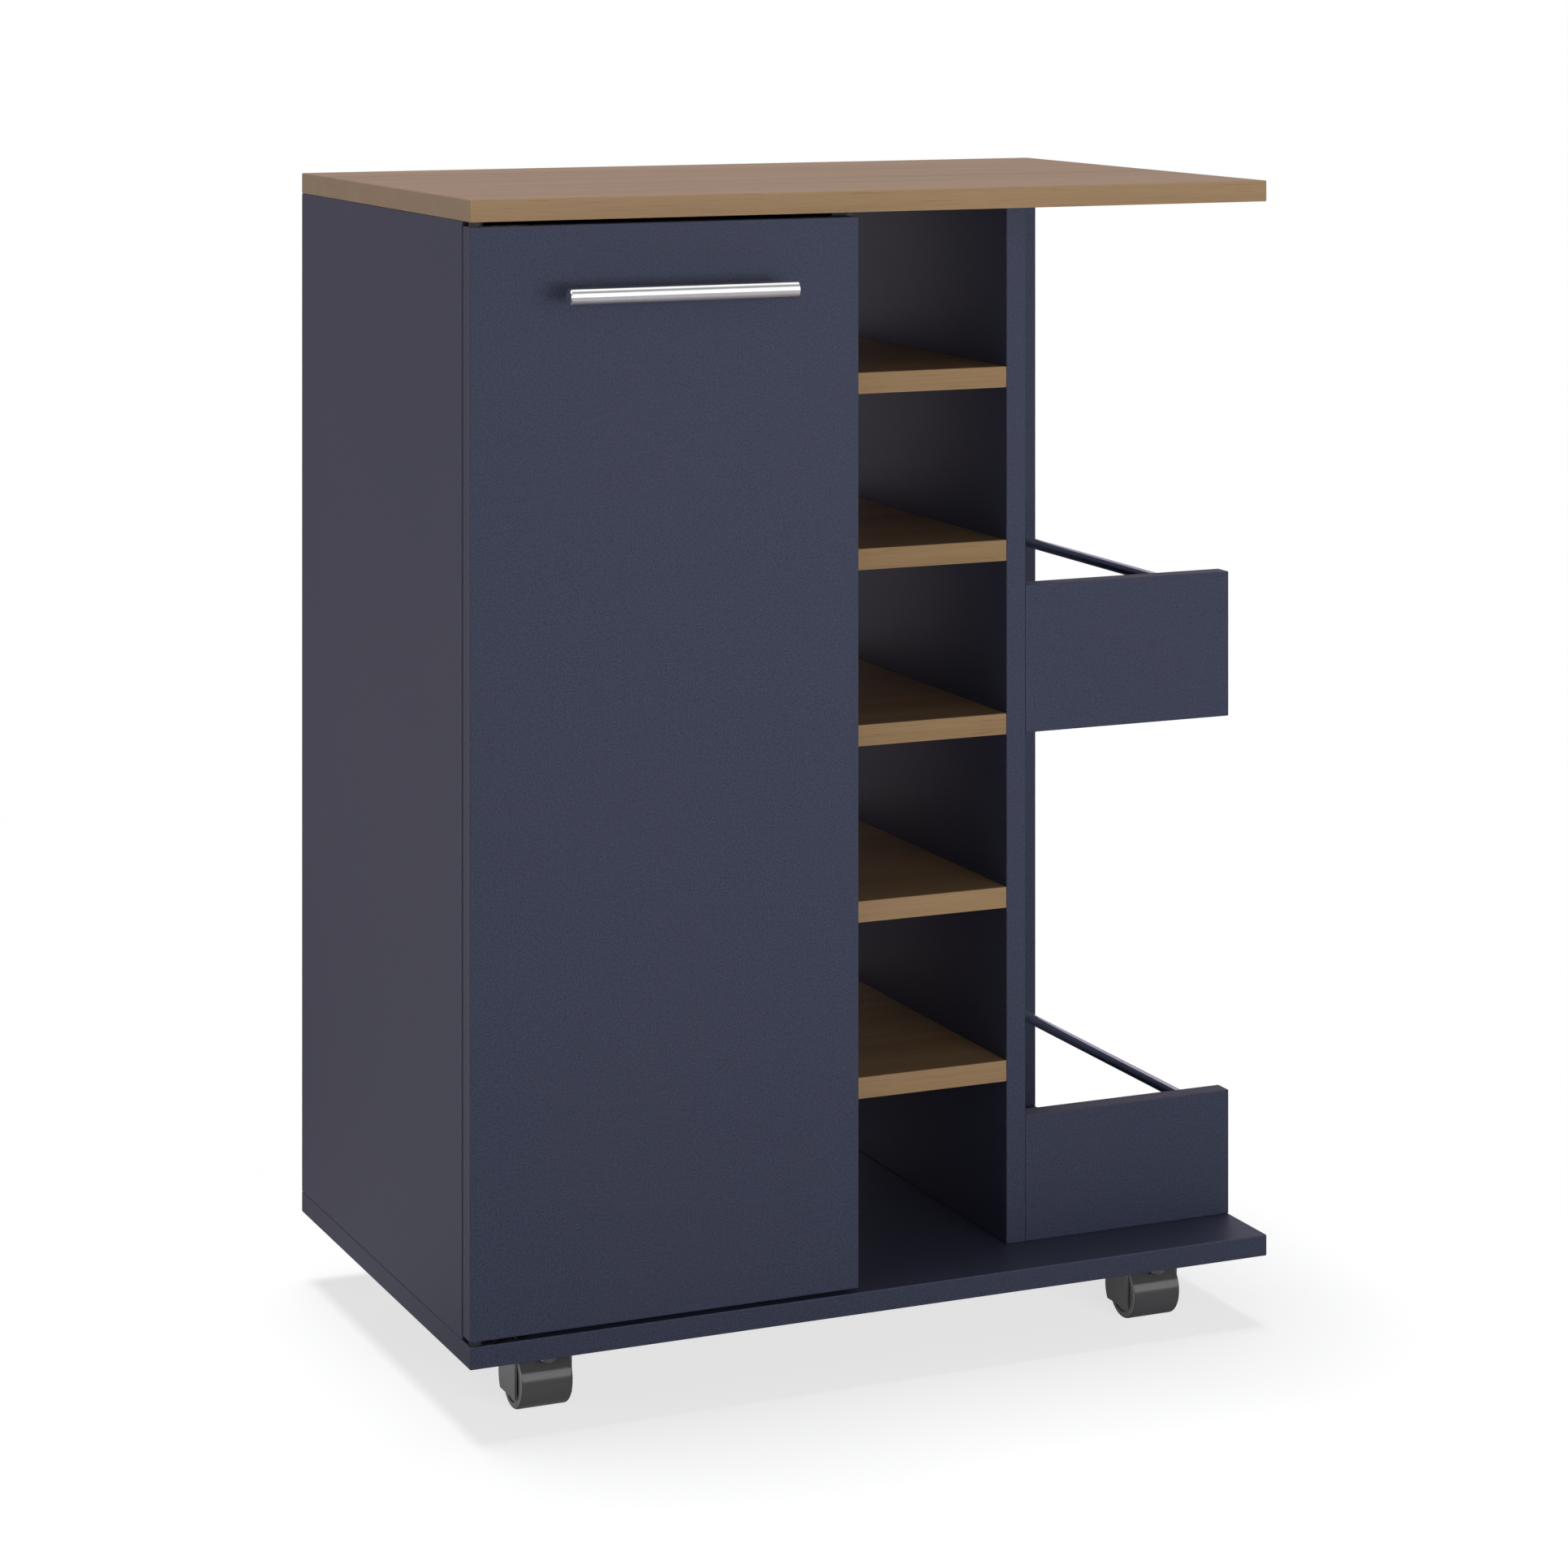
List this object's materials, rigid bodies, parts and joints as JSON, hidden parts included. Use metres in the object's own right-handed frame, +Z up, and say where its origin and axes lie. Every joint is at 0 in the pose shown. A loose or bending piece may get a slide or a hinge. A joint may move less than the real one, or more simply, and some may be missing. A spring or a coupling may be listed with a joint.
{
  "type": "rolling pantry cart",
  "caption": "Narrow kitchen cart on swivel casters: a door cupboard, a see-through niche of fixed shelves and two open side trays with guard rods under a wood-tone worktop.",
  "frame": {"origin": "on the floor, under the middle of the cart's outline, handle included", "axes": "+X to the right seen from the front, the door and niche face -Y, +Z up"},
  "size_m": [0.6, 0.415, 0.818],
  "materials": {
    "navy_laminate": "dark blue melamine laminate on particleboard, fine matt grain",
    "wood_laminate": "light brown wood-grain laminate, satin",
    "back_hardboard": "thin hardboard with a dark painted face",
    "dowel_wood": "bare beech",
    "bright_steel": "bright plated steel rod",
    "handle_chrome": "polished chrome",
    "zinc_steel": "zinc plated steel",
    "zinc_alloy": "cast zinc alloy",
    "black_nylon": "black nylon",
    "soft_pad": "clear grey soft pad",
    "caster_plastic": "dark grey moulded nylon, satin",
    "wheel_plastic": "dark grey moulded tread, satin"
  },
  "bodies": {
    "cabinet": {"worktop": "wood_laminate", "base_board": "navy_laminate", "left_side_panel": "navy_laminate", "divider_panel": "navy_laminate", "right_side_panel": "navy_laminate", "tray_back_board": "navy_laminate", "back_panel": "back_hardboard", "upper_tray_floor": "navy_laminate", "upper_tray_front": "navy_laminate", "lower_tray_front": "navy_laminate", "upper_guard_rod": "bright_steel", "lower_guard_rod": "bright_steel", "cam_housings": "zinc_alloy", "hinge_socket_top": "zinc_steel", "hinge_socket_bottom": "zinc_steel", "hinge_washers": "black_nylon", "catch_housing": "black_nylon", "catch_magnet": "zinc_steel", "caster_stems": "zinc_steel", "caster_inserts": "zinc_steel", "base_screws": "zinc_steel", "carcass_dowels": "dowel_wood", "cam_bolts": "zinc_steel", "niche_shelf_dowels": "dowel_wood", "shelf_supports": "zinc_steel", "tray_dowels": "dowel_wood", "back_panel_nails": "zinc_steel", "hinge_socket_screws": "zinc_steel", "catch_screws": "zinc_steel", "niche_shelf_1": "wood_laminate", "niche_shelf_2": "wood_laminate", "niche_shelf_3": "wood_laminate", "niche_shelf_4": "wood_laminate", "niche_shelf_5": "wood_laminate", "cupboard_shelf_1": "navy_laminate", "cupboard_shelf_2": "navy_laminate"},
    "door": {"door_panel": "navy_laminate", "hinge_leaf_top": "zinc_steel", "hinge_leaf_bottom": "zinc_steel", "hinge_leaf_screws": "zinc_steel", "strike_plate": "zinc_steel", "strike_screw": "zinc_steel", "door_bumpers": "soft_pad", "handle_bar": "handle_chrome", "handle_posts": "handle_chrome", "handle_screws": "zinc_steel"},
    "caster_front_left": {"caster_hood_front_left": "caster_plastic", "caster_axle_front_left": "zinc_steel"},
    "wheel_front_left": {"caster_wheel_front_left": "wheel_plastic"},
    "caster_front_right": {"caster_hood_front_right": "caster_plastic", "caster_axle_front_right": "zinc_steel"},
    "wheel_front_right": {"caster_wheel_front_right": "wheel_plastic"},
    "caster_rear_left": {"caster_hood_rear_left": "caster_plastic", "caster_axle_rear_left": "zinc_steel"},
    "wheel_rear_left": {"caster_wheel_rear_left": "wheel_plastic"},
    "caster_rear_right": {"caster_hood_rear_right": "caster_plastic", "caster_axle_rear_right": "zinc_steel"},
    "wheel_rear_right": {"caster_wheel_rear_right": "wheel_plastic"}
  },
  "joints": [
    {"name": "door_swing", "type": "hinge", "parent": "cabinet", "child": "door", "pos_m": [-0.2945, -0.1665, 0.434], "axis": [0, 0, -1], "range_deg": [0, 110]},
    {"name": "swivel_front_left", "type": "hinge", "parent": "cabinet", "child": "caster_front_left", "pos_m": [-0.232, -0.1345, 0.045], "axis": [0, 0, 1], "continuous": true},
    {"name": "roll_front_left", "type": "hinge", "parent": "caster_front_left", "child": "wheel_front_left", "pos_m": [-0.232, -0.1145, 0.02], "axis": [1, 0, 0], "continuous": true},
    {"name": "swivel_front_right", "type": "hinge", "parent": "cabinet", "child": "caster_front_right", "pos_m": [0.232, -0.1345, 0.045], "axis": [0, 0, 1], "continuous": true},
    {"name": "roll_front_right", "type": "hinge", "parent": "caster_front_right", "child": "wheel_front_right", "pos_m": [0.232, -0.1145, 0.02], "axis": [1, 0, 0], "continuous": true},
    {"name": "swivel_rear_left", "type": "hinge", "parent": "cabinet", "child": "caster_rear_left", "pos_m": [-0.232, 0.1525, 0.045], "axis": [0, 0, 1], "continuous": true},
    {"name": "roll_rear_left", "type": "hinge", "parent": "caster_rear_left", "child": "wheel_rear_left", "pos_m": [-0.232, 0.1325, 0.02], "axis": [1, 0, 0], "continuous": true},
    {"name": "swivel_rear_right", "type": "hinge", "parent": "cabinet", "child": "caster_rear_right", "pos_m": [0.232, 0.1525, 0.045], "axis": [0, 0, 1], "continuous": true},
    {"name": "roll_rear_right", "type": "hinge", "parent": "caster_rear_right", "child": "wheel_rear_right", "pos_m": [0.232, 0.1325, 0.02], "axis": [1, 0, 0], "continuous": true}
  ]
}
